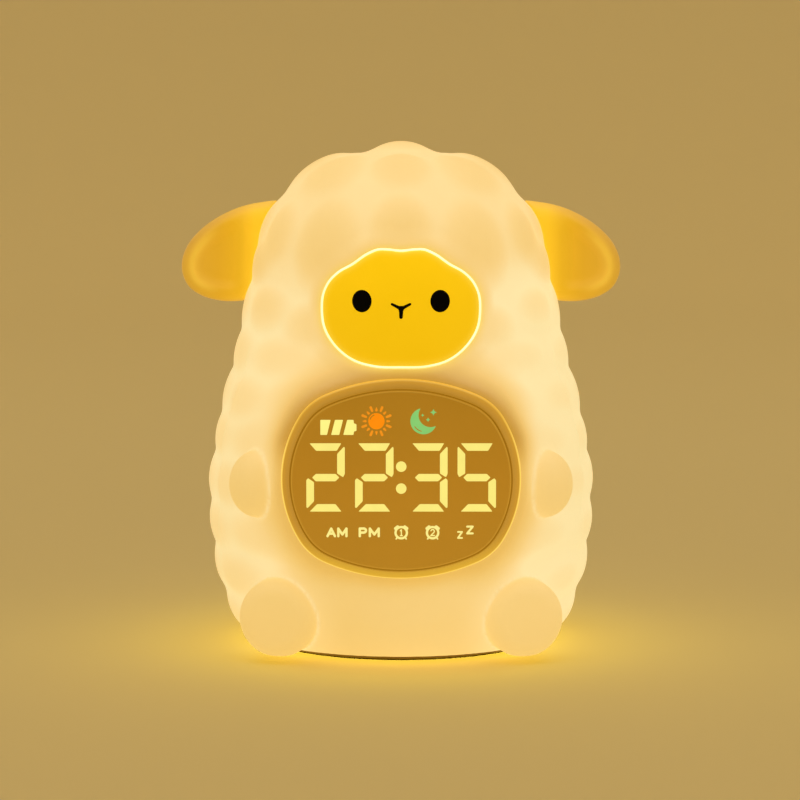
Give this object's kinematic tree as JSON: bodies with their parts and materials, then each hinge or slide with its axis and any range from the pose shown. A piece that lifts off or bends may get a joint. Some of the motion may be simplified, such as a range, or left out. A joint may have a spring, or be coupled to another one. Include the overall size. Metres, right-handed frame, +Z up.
{
  "type": "kids alarm clock with night light",
  "caption": "Sitting woolly sheep night light in translucent silicone with drooping ears, a lit face, an oval digital clock display and a rear control panel.",
  "frame": {"origin": "middle of the footprint on the surface the clock stands on", "axes": "+Z up, the display and the face look towards -Y, +X is the viewer's right"},
  "size_m": [0.1324, 0.113, 0.15],
  "materials": {
    "silicone": "satin, translucent",
    "ear_silicone": "satin",
    "face_plastic": "satin, translucent",
    "clear_plastic": "gloss, translucent",
    "bezel_plastic": "satin",
    "window_plastic": "satin, smoke tint",
    "white_abs": "matte",
    "diffuser": "translucent",
    "pcb": "solder mask",
    "led": "gloss",
    "screw_steel": "zinc plated",
    "dome_plastic": "translucent",
    "base_plastic": "matte",
    "foot_rubber": "matte",
    "battery_wrap": "foil",
    "speaker_steel": "satin",
    "speaker_cone": "paper",
    "magnet": "plated",
    "lamp_pcb": "white solder mask",
    "panel_plastic": "matte, fine grain",
    "black_plastic": "matte",
    "knob_plastic": "satin",
    "connector_steel": "nickel plated",
    "chip": "matte epoxy",
    "connector_plastic": "matte",
    "wire_red": "satin",
    "wire_black": "satin",
    "wire_white": "satin",
    "button_rubber": "satin"
  },
  "bodies": {
    "clock": {"silicone_skin": "silicone", "ear_left": "ear_silicone", "ear_right": "ear_silicone", "face_plate": "face_plastic", "face_light_ring": "clear_plastic", "display_bezel": "bezel_plastic", "display_window": "window_plastic", "display_reflector": "white_abs", "segment_diffusers": "diffuser", "icon_diffusers": "diffuser", "display_pcb": "pcb", "display_leds": "led", "display_back_cover": "white_abs", "display_screws": "screw_steel", "inner_dome": "dome_plastic", "base_tray": "base_plastic", "anti_slip_ring": "foot_rubber", "base_screws": "screw_steel", "battery_pack": "battery_wrap", "speaker_frame": "speaker_steel", "speaker_cone": "speaker_cone", "speaker_magnet": "magnet", "light_tray": "white_abs", "light_tray_screws": "screw_steel", "lamp_board": "lamp_pcb", "lamp_leds": "led", "lamp_screws": "screw_steel", "control_panel": "panel_plastic", "main_pcb": "pcb", "main_pcb_screws": "screw_steel", "tact_switch_bodies": "black_plastic", "power_switch_body": "black_plastic", "usb_connector_shell": "connector_steel", "usb_tongue": "black_plastic", "main_chips": "chip", "tap_sensor": "connector_steel", "wire_connectors": "connector_plastic", "battery_wires": "wire_red", "speaker_wires": "wire_black", "lamp_wires": "wire_white", "display_cable": "wire_white"},
    "light_button": {"button_light": "button_rubber", "plunger_light": "black_plastic"},
    "sound_button": {"button_sound": "button_rubber", "plunger_sound": "black_plastic"},
    "alarm_button": {"button_alarm": "button_rubber", "plunger_alarm": "black_plastic"},
    "plus_button": {"button_plus": "button_rubber", "plunger_plus": "black_plastic"},
    "set_button": {"button_set": "button_rubber", "plunger_set": "black_plastic"},
    "minus_button": {"button_minus": "button_rubber", "plunger_minus": "black_plastic"},
    "power_slider": {"power_switch_knob": "knob_plastic"}
  },
  "joints": [
    {"name": "light_press", "type": "slide", "parent": "clock", "child": "light_button", "axis": [0, -1, 0], "range_m": [0, 0.0005], "stiffness_N_per_m": 300},
    {"name": "sound_press", "type": "slide", "parent": "clock", "child": "sound_button", "axis": [0, -1, 0], "range_m": [0, 0.0005], "stiffness_N_per_m": 300},
    {"name": "alarm_press", "type": "slide", "parent": "clock", "child": "alarm_button", "axis": [0, -1, 0], "range_m": [0, 0.0005], "stiffness_N_per_m": 300},
    {"name": "plus_press", "type": "slide", "parent": "clock", "child": "plus_button", "axis": [0, -1, 0], "range_m": [0, 0.0005], "stiffness_N_per_m": 300},
    {"name": "set_press", "type": "slide", "parent": "clock", "child": "set_button", "axis": [0, -1, 0], "range_m": [0, 0.0005], "stiffness_N_per_m": 300},
    {"name": "minus_press", "type": "slide", "parent": "clock", "child": "minus_button", "axis": [0, -1, 0], "range_m": [0, 0.0005], "stiffness_N_per_m": 300},
    {"name": "power_slide", "type": "slide", "parent": "clock", "child": "power_slider", "axis": [1, 0, 0], "range_m": [0, 0.0025]}
  ]
}
